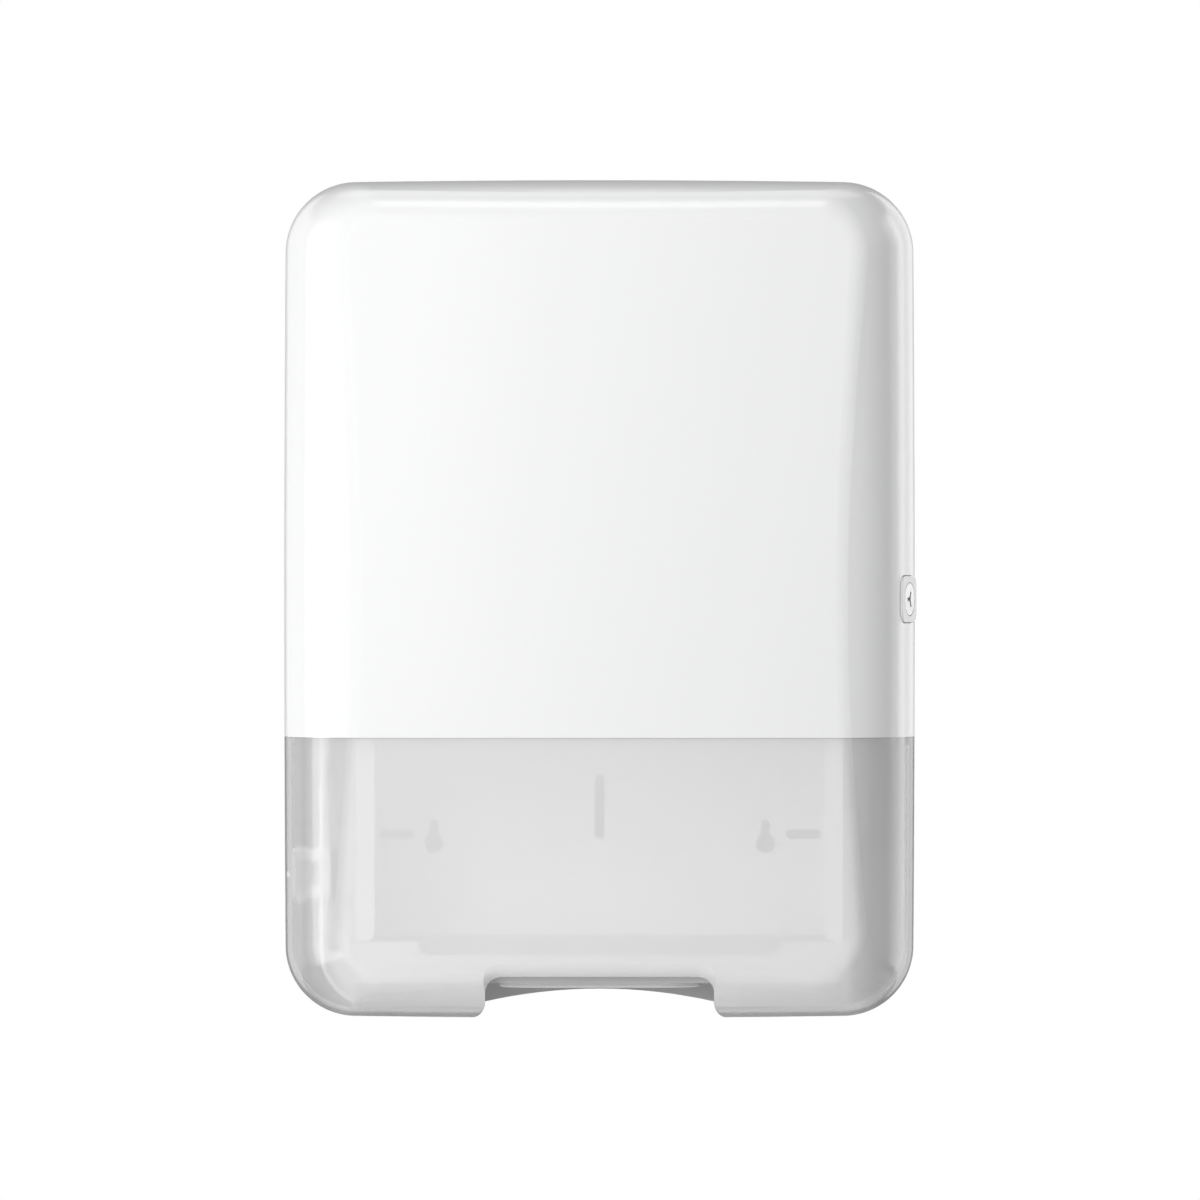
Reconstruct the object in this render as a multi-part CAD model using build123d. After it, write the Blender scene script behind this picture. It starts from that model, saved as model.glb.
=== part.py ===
from build123d import *
import math
import os

# A folded towel dispenser that hangs on a washroom wall. All sizes are millimetres.
# The origin is the middle of the flat back face, on the wall. X runs to the right as the user
# sees it, Z runs up, and the front faces -Y. The cover swings open to the left on two pins.

# Overall size
WIDTH = 332.0
HEIGHT = 440.0
DEPTH = 136.0

# The cover's form
CORNER = 37.0            # corner radius at the wall, seen from the front
SIDE_BOW = 1.0           # how far the long sides swell at mid height
END_BOW = 1.6            # how far the top and bottom swell at mid width
SIDE_INSET = 42.0        # how far the sides have come in at the front edge
TOP_INSET = 16.0
FOOT_INSET = 27.0
ROUNDNESS = 4.6          # higher keeps the walls straighter before they turn
APEX = 4.0               # the side curve's apex lies this far past the front
EDGE_BACK = 5.0          # the front edge lies this far behind the crown
FRONT_RADIUS_X = 1400.0  # crown of the front face, across and up
FRONT_RADIUS_Z = 4000.0
FRONT_FILLET = 18.0
COVER_WALL = 2.5
WALL_GAP = 0.6           # the cover's rear edge off the wall
SECTIONS = (-0.02, 0.1, 0.22, 0.34, 0.45, 0.55, 0.64, 0.72, 0.79, 0.85, 0.90, 0.94, 0.976)

# The seam between the upper cover and the window below it
SEAM_Z = -HEIGHT / 2 + 148
SEAM_GAP = 0.3
SEAT_GAP = 0.15          # between a piece and the inside of the cover
LAP = 8.0
LAP_WALL = 2.0
LAP_REAR = 16.0          # the lap stops this far from the wall
HOOK_WIDTH = 12.0
HOOK_HEIGHT = 3.0
HOOK_THICK = 1.7
HOOK_ACROSS = 70.0       # the front hooks from the middle
HOOK_DEPTH = 66.0        # the side hooks from the wall

# The hand cut-out in the lower edge of the window
CUT_WIDTH = 119.0
CUT_HEIGHT = 24.0
CUT_CORNER = 9.0
CUT_FOOT = 11.0
CUT_ROLL = 9.5           # the front rolls in above the cut-out by this radius
CUT_EASE = 0.15          # the roll starts this far in front of the crown
CUT_LIP = 24.0           # depth of the rolled lip behind the front

# The hinge on the left side
HINGE_IN = 8.5           # pin axis from the side of the cover
HINGE_OUT = 9.5          # pin axis from the wall
HINGE_LIP = 4.0          # the cover's rear lip passes the axis by this much
HINGE_Z = HEIGHT / 2 - 75    # hinges above and below mid height
PIN_R = 2.0
PIN_FIT = 0.08
PIN_HEAD_R = 3.2
PIN_HEAD = 1.2
KNUCKLE_R = 5.0
KNUCKLE_HALF = 6.0
KNUCKLE_GAP = 0.4
LUG = 6.6
LEAF = 2.8
LEAF_LENGTH = 36.0
LEAF_HALF = 12.0

# Screws
SCREW_R = 1.5
SCREW_FIT = 0.1
HEAD_R = 3.0
HEAD_H = 1.8
SLOT_W = 0.8

# The back plate
PLATE = 3.0
RIM_DEPTH = 12.0
RIM_WALL = 2.2
PLATE_GAP = 1.5          # between the plate's edge and the cover
PLATE_CORNER = 33.0
SWING_GAP = 0.7          # between the plate and the cover's turning edge
PLATE_LEFT_CORNER = 30.0
BAY_RIB_Z = HINGE_Z - 12.5
BAY_RIB = 2.0
KEY_SPACING = WIDTH - 156
KEY_HEAD_R = 5.15
KEY_NECK = 5.0
KEY_DROP = 12.5          # from the head's centre to the top of the neck
KEY_LOW_Z = -HEIGHT / 2 + 90.5
KEY_HIGH_Z = HEIGHT / 2 - 103
LEVEL_SPACING_X = WIDTH - 116
LEVEL_SPACING_Z = HEIGHT - 190.8
LEVEL_LENGTH = 18.8
LEVEL_WIDTH = 5.0
CENTRE_Z = HEIGHT / 2 - 110
CENTRE_LENGTH = 34.0
CENTRE_WIDTH = 5.3

# The towel magazine
MAG_WIDTH = WIDTH - 84   # between the side guides
GUIDE_WALL = 2.5
GUIDE_TOP = HEIGHT / 2 - 22
GUIDE_FRONT = DEPTH - 26
GUIDE_CORNER = 22.0
GUIDE_LIP = 7.0          # front lips that keep the stack in
GUIDE_FOOT = 13.0
FOOT_WALL = 2.5

# The tray below it
TRAY_WIDTH = MAG_WIDTH + 12
TRAY_WALL = 2.5
TRAY_TOP = -HEIGHT / 2 + 42
TRAY_BOTTOM = -HEIGHT / 2 + 4
TRAY_FLOOR = -HEIGHT / 2 + 23    # top face of the floor
TRAY_FRONT = GUIDE_FRONT
TRAY_GAP = 1.2           # from the window at the front
TRAY_DIP = 7.0
ARCH_TOP = -HEIGHT / 2 + 13.7
ARCH_FOOT = -HEIGHT / 2 + 6.6
ARCH_HALF = 62.0
SKIRT_REAR = 44.0        # where the skirt's lower edge starts to rise
MOUTH_WIDTH = 100.0
MOUTH_DEPTH = 40.0
MOUTH_Y = -DEPTH / 2 + 8
MOUTH_CORNER = 16.0
LIP_WALL = 2.4
LIP_FLANGE = 4.5
LIP_FLANGE_H = 1.6
LIP_DROP = 6.0
LIP_FIT = 0.2

# The lock in the cover's right side
LOCK_DEPTH = DEPTH - 46  # from the wall
LOCK_PROUD = 0.9         # the button's middle stands off the cover
LOCK_TILT = 19.0         # the button's face turns this far towards the user
BUTTON_LONG = 25.0
BUTTON_TALL = 24.3
BUTTON_CORNER = 5.0
BUTTON_PLATE = 4.0
BUTTON_GAP = 0.35
BUTTON_TRAVEL = 3.5
CYLINDER_R = 8.8
CYLINDER_HEAD = 3.0
CYLINDER_BODY_R = 7.0
BARREL_WALL = 1.5
TURN_FIT = 0.06
BARREL_FIT = 0.1
HOUSING_WALL = 2.8
HOUSING_DEPTH = 13.0     # from the button's face to the housing's inner end
HOUSING_FLOOR = 2.0
EAR = 9.0
EAR_DEPTH = 6.5
CLIP_R = 9.8
CLIP = 1.2
CLIP_GAP = 0.4
GROOVE = 0.6
TONGUE = 2.2
TONGUE_LENGTH = 20.0
TONGUE_WIDTH = 8.0
KEY_SLOT_W = 1.6
KEY_SLOT_R = 4.6
KEY_SLOT_DEEP = 1.0
SPRING_WIRE = 1.0
SPRING_R = 10.2
SPRING_TURNS = 3.0
SPRING_GAP = 0.3

# The latch arm and keeper on the back plate
ARM_WALL = 3.0
ARM_HALF = 32.0
ARM_FOOT = 18.0
ARM_CLEAR = 0.8          # between the pushed tongue and the arm
KEEPER = 2.0
KEEPER_GAP = 0.6         # between the locked tongue and the keeper
KEEPER_TOP = -10.5
KEEPER_TALL = 19.0
KEEPER_BOSS = 9.0
KEEPER_REACH = 7.2       # the nose beyond the arm

MIN3 = (Align.CENTER, Align.CENTER, Align.MIN)
MAX3 = (Align.CENTER, Align.CENTER, Align.MAX)

# Places that follow from the sizes
hinge_x = -WIDTH / 2 + HINGE_IN
hinge_y = -HINGE_OUT
plate_left = hinge_x + HINGE_IN + SWING_GAP
plate_right = WIDTH / 2 - COVER_WALL - PLATE_GAP
plate_half = HEIGHT / 2 - COVER_WALL - PLATE_GAP
guide_x = MAG_WIDTH / 2 + GUIDE_WALL


def block(x0, x1, y0, y1, z0, z1):
    """A box between two corners."""
    return Pos((x0 + x1) / 2, (y0 + y1) / 2, (z0 + z1) / 2) * Box(abs(x1 - x0), abs(y1 - y0), abs(z1 - z0))


def slab(z0, z1):
    """All of the dispenser between two heights."""
    return block(-WIDTH, WIDTH, -2 * DEPTH, DEPTH, z0, z1)


def facing(x, y, z):
    """A plane on the back plate's side of a piece, looking at the user."""
    return Plane(origin=(x, y, z), x_dir=(1, 0, 0), z_dir=(0, -1, 0))


def turned_in(share):
    """The side curve: nought at the wall, rising to one at the curve's apex."""
    share = max(share, 0.0)
    return 1 - (1 - share ** ROUNDNESS) ** (1 / ROUNDNESS)


def inset_share(depth, skin):
    """How much of the inset the walls have taken at a depth from the wall."""
    reach = DEPTH + APEX - skin
    return turned_in(depth / reach) / turned_in((DEPTH - EDGE_BACK - skin) / reach)


def section(depth, skin):
    """The rounded outline of the form at a depth, with bowed sides."""
    share = inset_share(depth, skin)
    half = WIDTH / 2 - skin - (SIDE_INSET - skin / 2) * share
    top = HEIGHT / 2 - skin - (TOP_INSET - skin / 2) * share
    low = -HEIGHT / 2 + skin + (FOOT_INSET - skin / 2) * share
    mid = (top + low) / 2
    left, right = -half + SIDE_BOW, half - SIDE_BOW
    up, down = top - END_BOW, low + END_BOW
    face = make_face([
        ThreePointArc((left, up), (0, top), (right, up)),
        ThreePointArc((right, up), (half, mid), (right, down)),
        ThreePointArc((right, down), (0, low), (left, down)),
        ThreePointArc((left, down), (-half, mid), (left, up)),
    ])
    face = fillet(face.vertices(), CORNER - skin - 0.25 * SIDE_INSET * share)
    return facing(0, -depth, 0) * face


def crown(skin):
    """A block whose front is the gently domed front face."""
    half = WIDTH / 2 + 10
    front = -(DEPTH - skin)
    sag = FRONT_RADIUS_X - math.sqrt(FRONT_RADIUS_X ** 2 - half ** 2)
    arc = ThreePointArc((-half, front + sag), (0, front), (half, front + sag))
    rest = Polyline((half, front + sag), (half, 30), (-half, 30), (-half, front + sag))
    face = make_face([arc, rest])
    axis = Axis((0, FRONT_RADIUS_Z + front, 0), (1, 0, 0))
    angle = math.degrees(math.asin((HEIGHT / 2 + 15) / FRONT_RADIUS_Z))
    return revolve(face.rotate(axis, -angle), axis, 2 * angle)


forms = {}


def form(skin):
    """The dispenser's outer form, or the form that lies a skin inside it."""
    key = round(skin, 4)
    if key not in forms:
        reach = DEPTH + APEX - skin
        body = loft([section(s * reach, skin) for s in SECTIONS]) & crown(skin)
        front = body.faces().sort_by(Axis.Y)[0]
        forms[key] = fillet(front.edges(), FRONT_FILLET - skin)
    return forms[key]


def cover_side(depth):
    """The cover's right side at mid height."""
    return WIDTH / 2 - SIDE_INSET * inset_share(depth, 0)


# The lock's own frame: X to the wall along the button, Y up, Z out along the button's axis
tilt = math.radians(LOCK_TILT)
lock_x = cover_side(LOCK_DEPTH) + LOCK_PROUD
LOCK = Plane(origin=(lock_x, -LOCK_DEPTH, 0), x_dir=(math.sin(tilt), math.cos(tilt), 0),
             z_dir=(math.cos(tilt), -math.sin(tilt), 0))
barrel_r = CYLINDER_BODY_R + BARREL_WALL
barrel_end = -HOUSING_DEPTH - CLIP_GAP + 0.1
clip_face = -HOUSING_DEPTH - CLIP_GAP
tongue_out = clip_face - CLIP - 1.4
tongue_in = tongue_out - TONGUE


def lock_point(along, up, out):
    """A point of the lock's frame in the dispenser's frame."""
    return LOCK.from_local_coords(Vector(along, up, out))


# The arm stands clear of the pushed tongue, the keeper just in front of the locked one
pushed = lock_point(-TONGUE_WIDTH / 2, 0, tongue_in - BUTTON_TRAVEL)
locked = lock_point(-TONGUE_WIDTH / 2, 0, tongue_out)
arm_right = pushed.X - ARM_CLEAR
keeper_back = locked.Y - KEEPER_GAP


def screw(place, length):
    """A pan head screw: the head on the plane, the shank behind it."""
    head = Cylinder(HEAD_R, HEAD_H, align=MIN3)
    head = chamfer(head.edges().sort_by(Axis.Z)[-1:], HEAD_H / 3)
    shank = Cylinder(SCREW_R, length - SCREW_R, align=MAX3)
    tip = Pos(0, 0, SCREW_R - length) * Cone(SCREW_R * 0.35, SCREW_R, SCREW_R, align=MAX3)
    slot = Pos(0, 0, HEAD_H) * Box(HEAD_R * 1.1, SLOT_W, HEAD_H)
    cross = slot + Rot(0, 0, 90) * slot
    return place * (head + shank + tip - cross)


def screw_hole(place, length):
    """The hole that a screw of this length leaves behind its seat."""
    return place * Cylinder(SCREW_R + SCREW_FIT, length + 0.1, align=MAX3)


def rounded(width, height, radius):
    return RectangleRounded(width, height, radius)


# Screw places
guide_screw_z = (TRAY_TOP + 18, -HEIGHT / 8, HEIGHT / 8, GUIDE_TOP - 23)
guide_screw_x = guide_x + GUIDE_FOOT * 0.55
GUIDE_SCREW = FOOT_WALL + PLATE - 0.8
TRAY_SCREW = TRAY_WALL + PLATE - 0.8
ARM_SCREW = ARM_WALL + PLATE - 0.8
KEEPER_SCREW = KEEPER + 7.0
arm_left = arm_right - ARM_WALL
arm_foot_right = arm_right + ARM_FOOT


def guide_seats(side):
    return [facing(side * guide_screw_x, -PLATE - FOOT_WALL, z) for z in guide_screw_z]


def tray_seats():
    half = MAG_WIDTH / 2
    return [facing(x, -PLATE - TRAY_WALL, TRAY_TOP - 8) for x in (12 - half, -0.3 * half, 0.3 * half, half - 12)]


def arm_seats():
    return [facing(arm_right + ARM_FOOT / 2, -PLATE - ARM_WALL, z) for z in (-ARM_HALF + 9, ARM_HALF - 9)]


def keeper_seats():
    x = arm_right - KEEPER_BOSS / 2
    return [facing(x, keeper_back - KEEPER, KEEPER_TOP - KEEPER_TALL * s) for s in (0.27, 0.73)]


leaf_face = -WIDTH / 2 + COVER_WALL + SEAT_GAP + LEAF + 0.6
LEAF_SCREW = LEAF + 1.9


def leaf_seats(z):
    return [Plane(origin=(leaf_face, hinge_y - y, z), x_dir=(0, 0, 1), z_dir=(1, 0, 0)) for y in (15.0, 31.0)]


EAR_SCREW = EAR_DEPTH - LOCK_PROUD - 1.2


def ear_seats():
    up = BUTTON_TALL / 2 + BUTTON_GAP + HOUSING_WALL + EAR / 2
    return [Plane(origin=lock_point(0, s * up, -EAR_DEPTH), x_dir=LOCK.x_dir, z_dir=-LOCK.z_dir) for s in (-1, 1)]


def plate_outline(inset=0.0):
    """The back plate's outline, narrower on the hinge side."""
    left, right = plate_left + inset, plate_right - inset
    half = plate_half - inset
    face = facing(0, 0, 0) * Polygon((left, -half), (right, -half), (right, half), (left, half), align=None)
    lefts = face.vertices().filter_by(lambda v: v.X < 0)
    face = fillet(lefts, PLATE_LEFT_CORNER - inset)
    rights = [v for v in face.vertices() if abs(v.X - right) < 0.01]
    return fillet(rights, PLATE_CORNER - inset)


def arch():
    """The arched gap in the lower edge, behind the hand cut-out."""
    low = TRAY_BOTTOM - 20
    arc = ThreePointArc((-ARCH_HALF, ARCH_FOOT), (0, ARCH_TOP), (ARCH_HALF, ARCH_FOOT))
    rest = Polyline((ARCH_HALF, ARCH_FOOT), (ARCH_HALF, low), (-ARCH_HALF, low), (-ARCH_HALF, ARCH_FOOT))
    return facing(0, 10, 0) * extrude(make_face([arc, rest]), 30 + PLATE + TRAY_WALL)


def keyhole(x, z):
    """A round head with a neck above it."""
    neck = KEY_DROP - KEY_NECK / 2
    face = Pos(x, z) * Circle(KEY_HEAD_R)
    face += Pos(x, z + neck / 2) * Rectangle(KEY_NECK, neck)
    face += Pos(x, z + neck) * Circle(KEY_NECK / 2)
    return face


def wall_holes():
    """Keyholes, level slots and centre slots of the back plate."""
    face = Sketch()
    for x in (-KEY_SPACING / 2, KEY_SPACING / 2):
        for z in (KEY_LOW_Z, KEY_HIGH_Z):
            face += keyhole(x, z)
    for x in (-LEVEL_SPACING_X / 2, LEVEL_SPACING_X / 2):
        for z in (-LEVEL_SPACING_Z / 2, LEVEL_SPACING_Z / 2):
            face += Pos(x, z) * SlotOverall(LEVEL_LENGTH, LEVEL_WIDTH)
    for z in (-CENTRE_Z, CENTRE_Z):
        face += Pos(0, z) * SlotOverall(CENTRE_LENGTH, CENTRE_WIDTH, rotation=90)
    return facing(0, 1, 0) * extrude(face, PLATE + 2)


def hinge_lugs(z):
    """Two fixed lugs with the pin's hole, standing off the plate's left rim."""
    lugs = []
    for side in (-1, 1):
        middle = z + side * (KNUCKLE_HALF + KNUCKLE_GAP + LUG / 2)
        face = Pos(hinge_x, hinge_y) * Circle(KNUCKLE_R)
        right = plate_left + RIM_WALL + 4
        depth = KNUCKLE_R + 3.5
        face += Pos((hinge_x + right) / 2, hinge_y + 3.5 - depth / 2) * Rectangle(right - hinge_x, depth)
        lug = Pos(0, 0, middle - LUG / 2) * extrude(face, LUG)
        lugs.append(lug)
    reach = KNUCKLE_HALF + KNUCKLE_GAP + LUG
    root = block(plate_left, plate_left + RIM_WALL + 4, -PLATE / 2, hinge_y - KNUCKLE_R, z - reach, z + reach)
    pin = Pos(hinge_x, hinge_y, z) * Cylinder(PIN_R, 4 * reach)
    return lugs[0] + lugs[1] + root - pin


def back_plate():
    """The moulded plate on the wall: rim, bay ribs, hinge lugs and the holes for its screws."""
    plate = extrude(plate_outline(), PLATE)
    rim = extrude(plate_outline(), RIM_DEPTH) - extrude(plate_outline(RIM_WALL), RIM_DEPTH)
    rim -= block(-TRAY_WIDTH / 2 - 1, TRAY_WIDTH / 2 + 1, 5, -2 * RIM_DEPTH, TRAY_TOP, -HEIGHT)
    plate += rim
    inner = guide_x + GUIDE_FOOT + 1
    for z in (-BAY_RIB_Z, BAY_RIB_Z):
        plate += block(inner, plate_right - RIM_WALL / 2, -PLATE / 2, -RIM_DEPTH, z - BAY_RIB / 2, z + BAY_RIB / 2)
        plate += block(plate_left + RIM_WALL / 2, -inner, -PLATE / 2, -RIM_DEPTH, z - BAY_RIB / 2, z + BAY_RIB / 2)
    for z in (-HINGE_Z, HINGE_Z):
        plate += hinge_lugs(z)
    plate -= arch()
    plate -= wall_holes()
    for seats, length in ((guide_seats(-1) + guide_seats(1), GUIDE_SCREW), (tray_seats(), TRAY_SCREW),
                          (arm_seats(), ARM_SCREW)):
        for seat in seats:
            plate -= screw_hole(seat, length)
    return plate


def side_guide(side):
    """One wall of the magazine: a foot on the plate and a lip that keeps the stack in."""
    inner = side * MAG_WIDTH / 2
    outer = side * guide_x
    bottom = TRAY_TOP + 0.3
    wall = block(inner, outer, -PLATE, -GUIDE_FRONT, bottom, GUIDE_TOP)
    corner = wall.edges().filter_by(Axis.X).sort_by(lambda e: -e.center().Y + e.center().Z)[-1:]
    wall = fillet(corner, GUIDE_CORNER)
    lip = block(inner - side * GUIDE_LIP, outer, -GUIDE_FRONT, -GUIDE_FRONT + GUIDE_WALL,
                bottom, GUIDE_TOP - GUIDE_CORNER - 4)
    ends = lip.edges().filter_by(Axis.Y).sort_by(lambda e: side * e.center().X)[:2]
    lip = fillet(ends, GUIDE_LIP * 0.7)
    foot = block(inner, outer + side * GUIDE_FOOT, -PLATE, -PLATE - FOOT_WALL, bottom, GUIDE_TOP)
    ends = foot.edges().filter_by(Axis.Y).sort_by(lambda e: side * e.center().X)[-2:]
    foot = fillet(ends, GUIDE_FOOT * 0.5)
    for z in (TRAY_TOP + 68, ARM_HALF + 12, GUIDE_TOP - 80):
        foot += gusset(side, z)
    piece = wall + lip + foot
    if side > 0:
        piece -= block(arm_left - 1, outer + GUIDE_FOOT + 1, 1, -GUIDE_FRONT, -ARM_HALF - 1, ARM_HALF + 1)
    for seat in guide_seats(side):
        piece -= screw_hole(seat, GUIDE_SCREW)
    return piece


def gusset(side, z):
    """A triangular rib between a guide's wall and its foot."""
    x0 = side * (guide_x - 0.5)
    x1 = side * (guide_x + GUIDE_FOOT - 2)
    y0 = -PLATE - FOOT_WALL + 0.5
    face = Plane(origin=(0, 0, z - 1)) * Polygon((x0, y0), (x1, y0), (x0, y0 - 30), align=None)
    return extrude(face, 2)


def tray_skirt():
    """The tray's side outline: its lower edge rises towards the front."""
    low = TRAY_FLOOR - TRAY_WALL - 1.5
    face = Polygon((PLATE, TRAY_TOP), (PLATE, TRAY_BOTTOM), (SKIRT_REAR, TRAY_BOTTOM),
                   (TRAY_FRONT, low), (TRAY_FRONT, TRAY_TOP), align=None)
    face = fillet(face.vertices().sort_by(lambda v: v.X)[2:3], 40)
    plane = Plane(origin=(-TRAY_WIDTH / 2, 0, 0), x_dir=(0, -1, 0), z_dir=(-1, 0, 0))
    return plane * face


def towel_tray():
    """The bottom of the magazine: floor, low front, side skirts and an apron on the plate."""
    body = extrude(tray_skirt(), TRAY_WIDTH, dir=(1, 0, 0)) & form(COVER_WALL + TRAY_GAP)
    x = TRAY_WIDTH / 2 - TRAY_WALL
    back, front = -PLATE - TRAY_WALL, -TRAY_FRONT + TRAY_WALL
    above = block(-x, x, back, front, TRAY_FLOOR, 0)
    above = fillet(above.edges().filter_by(Axis.Z), 6)
    below = block(-x, x, back, -DEPTH, -HEIGHT, TRAY_FLOOR - TRAY_WALL)
    body = body - above - below
    dip = block(-MAG_WIDTH / 2 + 30, MAG_WIDTH / 2 - 30, front + 1, -DEPTH, TRAY_TOP - TRAY_DIP, 0)
    dip = fillet(dip.edges().filter_by(Axis.Y).sort_by(Axis.Z)[:2], 5)
    body -= dip
    body -= arch()
    mouth = Pos(0, MOUTH_Y, TRAY_FLOOR - 2 * TRAY_WALL) * extrude(
        rounded(MOUTH_WIDTH + 2 * LIP_WALL + 2 * LIP_FIT, MOUTH_DEPTH + 2 * LIP_WALL + 2 * LIP_FIT,
                MOUTH_CORNER + LIP_WALL + LIP_FIT), 4 * TRAY_WALL)
    body -= mouth
    for seat in tray_seats():
        body -= screw_hole(seat, TRAY_SCREW)
    return body


def mouth_lip():
    """A smooth collar in the tray's mouth, so that the towels don't tear."""
    outer = rounded(MOUTH_WIDTH + 2 * LIP_WALL, MOUTH_DEPTH + 2 * LIP_WALL, MOUTH_CORNER + LIP_WALL)
    flange = rounded(MOUTH_WIDTH + 2 * LIP_WALL + 2 * LIP_FLANGE, MOUTH_DEPTH + 2 * LIP_WALL + 2 * LIP_FLANGE,
                     MOUTH_CORNER + LIP_WALL + LIP_FLANGE)
    bore = rounded(MOUTH_WIDTH, MOUTH_DEPTH, MOUTH_CORNER)
    drop = TRAY_WALL + LIP_DROP - 2.5
    collar = Pos(0, MOUTH_Y, TRAY_FLOOR - drop) * extrude(outer, drop + LIP_FLANGE_H)
    top = Pos(0, MOUTH_Y, TRAY_FLOOR) * extrude(flange, LIP_FLANGE_H)
    ring = collar + top - Pos(0, MOUTH_Y, TRAY_FLOOR - 2 * drop) * extrude(bore, 4 * drop)
    edges = ring.faces().sort_by(Axis.Z)[0].edges()
    ring = fillet(edges, LIP_WALL * 0.4)
    return ring


def latch_arm():
    """The arm that carries the keeper out to the lock."""
    front = -keeper_back
    low = KEEPER_TOP - KEEPER_TALL
    face = Polygon((PLATE, -ARM_HALF), (PLATE, ARM_HALF), (PLATE + ARM_WALL + 8, ARM_HALF - 4),
                   (front * 0.55, KEEPER_TOP + 6), (front, KEEPER_TOP), (front, low),
                   (front * 0.5, -ARM_HALF + 1), align=None)
    bends = face.vertices().filter_by(lambda v: 30 < v.X < front - 2)
    face = fillet(bends, 25)
    plane = Plane(origin=(arm_left, 0, 0), x_dir=(0, -1, 0), z_dir=(-1, 0, 0))
    web = extrude(plane * face, ARM_WALL, dir=(1, 0, 0))
    foot = block(arm_left, arm_foot_right, -PLATE, -PLATE - ARM_WALL, -ARM_HALF, ARM_HALF)
    foot = fillet(foot.edges().filter_by(Axis.Y).sort_by(Axis.X)[-2:], 5)
    boss = block(arm_right - KEEPER_BOSS, arm_right, keeper_back + 12, keeper_back, low, KEEPER_TOP)
    boss = chamfer(boss.edges().filter_by(Axis.Z).sort_by(lambda e: e.center().X - e.center().Y)[:1], 5)
    arm = web + foot + boss
    for z in (-ARM_HALF + 1.5, ARM_HALF - 4):
        rib = Polygon((arm_right - 0.5, -PLATE - ARM_WALL + 0.5), (arm_foot_right - 3, -PLATE - ARM_WALL + 0.5),
                      (arm_right - 0.5, -PLATE - ARM_WALL - 8), align=None)
        arm += Pos(0, 0, z) * extrude(rib, 2.0)
    for seat in arm_seats():
        arm -= screw_hole(seat, ARM_SCREW)
    for seat in keeper_seats():
        arm -= screw_hole(seat, KEEPER_SCREW)
    return arm


def keeper():
    """The steel plate whose nose the turned tongue hooks behind."""
    left = arm_right - KEEPER_BOSS
    right = arm_right + KEEPER_REACH
    plate = block(left, right, keeper_back, keeper_back - KEEPER, KEEPER_TOP - KEEPER_TALL, KEEPER_TOP)
    plate = fillet(plate.edges().filter_by(Axis.Y), 2)
    for seat in keeper_seats():
        plate -= screw_hole(seat, KEEPER_SCREW)
    return plate


def hinge_relief():
    """What the cover's left rear edge loses, so that it can turn beside the wall."""
    tall = HEIGHT + 20
    corner = block(-WIDTH, hinge_x, hinge_y, 10, -tall / 2, tall / 2)
    corner -= Pos(hinge_x, hinge_y) * Cylinder(HINGE_IN, tall)
    corner += block(-WIDTH, hinge_x - 3, hinge_y + HINGE_LIP, 10, -tall / 2, tall / 2)
    return corner + block(-WIDTH, WIDTH, -WALL_GAP, 30, -tall / 2, tall / 2)


def hook_boxes(grow):
    """Where the upper cover's hooks sit in the lap of the window."""
    z = SEAM_Z + LAP / 2
    high, wide = HOOK_HEIGHT / 2 + grow, HOOK_WIDTH / 2 + grow
    boxes = []
    for x in (-HOOK_ACROSS, HOOK_ACROSS):
        boxes.append(block(x - wide, x + wide, -DEPTH * 0.8, -DEPTH - 5, z - high, z + high))
    for side in (-1, 1):
        boxes.append(block(side * WIDTH * 0.42, side * WIDTH * 0.6, -HOOK_DEPTH + wide, -HOOK_DEPTH - wide,
                           z - high, z + high))
    return boxes


def button_hole(grow, near, far):
    """The button's outline, grown by a gap, between two depths of the lock's frame."""
    face = rounded(BUTTON_LONG + 2 * grow, BUTTON_TALL + 2 * grow, BUTTON_CORNER + grow)
    return LOCK * (Pos(0, 0, near) * extrude(face, far - near))


def upper_cover():
    """The upper part of the cover, with hooks that hold the window."""
    piece = (form(0) - form(COVER_WALL)) & slab(SEAM_Z + SEAM_GAP / 2, HEIGHT)
    grip = form(COVER_WALL / 2) - form(COVER_WALL + HOOK_THICK)
    for box in hook_boxes(0):
        piece += grip & box
    piece -= hinge_relief()
    piece -= button_hole(BUTTON_GAP, -10, 10)
    for seat in leaf_seats(HINGE_Z):
        piece -= screw_hole(seat, LEAF_SCREW)
    for seat in ear_seats():
        piece -= screw_hole(seat, EAR_SCREW)
    return piece


def notched(skin):
    """The form with the hand cut-out, where the front rolls in above it and at its corners."""
    half, top, foot = CUT_WIDTH / 2 + skin, -HEIGHT / 2 + CUT_HEIGHT + skin, -HEIGHT / 2 - 0.1 + skin
    wide, low = WIDTH, foot - 40
    face = Polygon((-wide, low), (wide, low), (wide, foot), (half, foot), (half, top),
                   (-half, top), (-half, foot), (-wide, foot), align=None)
    feet = [v for v in face.vertices() if abs(v.Y - foot) < 0.01 and abs(v.X) < wide - 1]
    face = fillet(feet, CUT_FOOT - skin)
    face = fillet([v for v in face.vertices() if abs(v.Y - top) < 0.01], CUT_CORNER + skin)
    hole = facing(0, 40, 0) * extrude(face, DEPTH + 80)
    body = crown(skin - CUT_EASE) - hole
    rim = [e for e in body.faces().sort_by(Axis.Y)[0].edges() if e.center().Z < top + 1]
    return form(skin) & fillet(rim, CUT_ROLL - skin)


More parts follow.
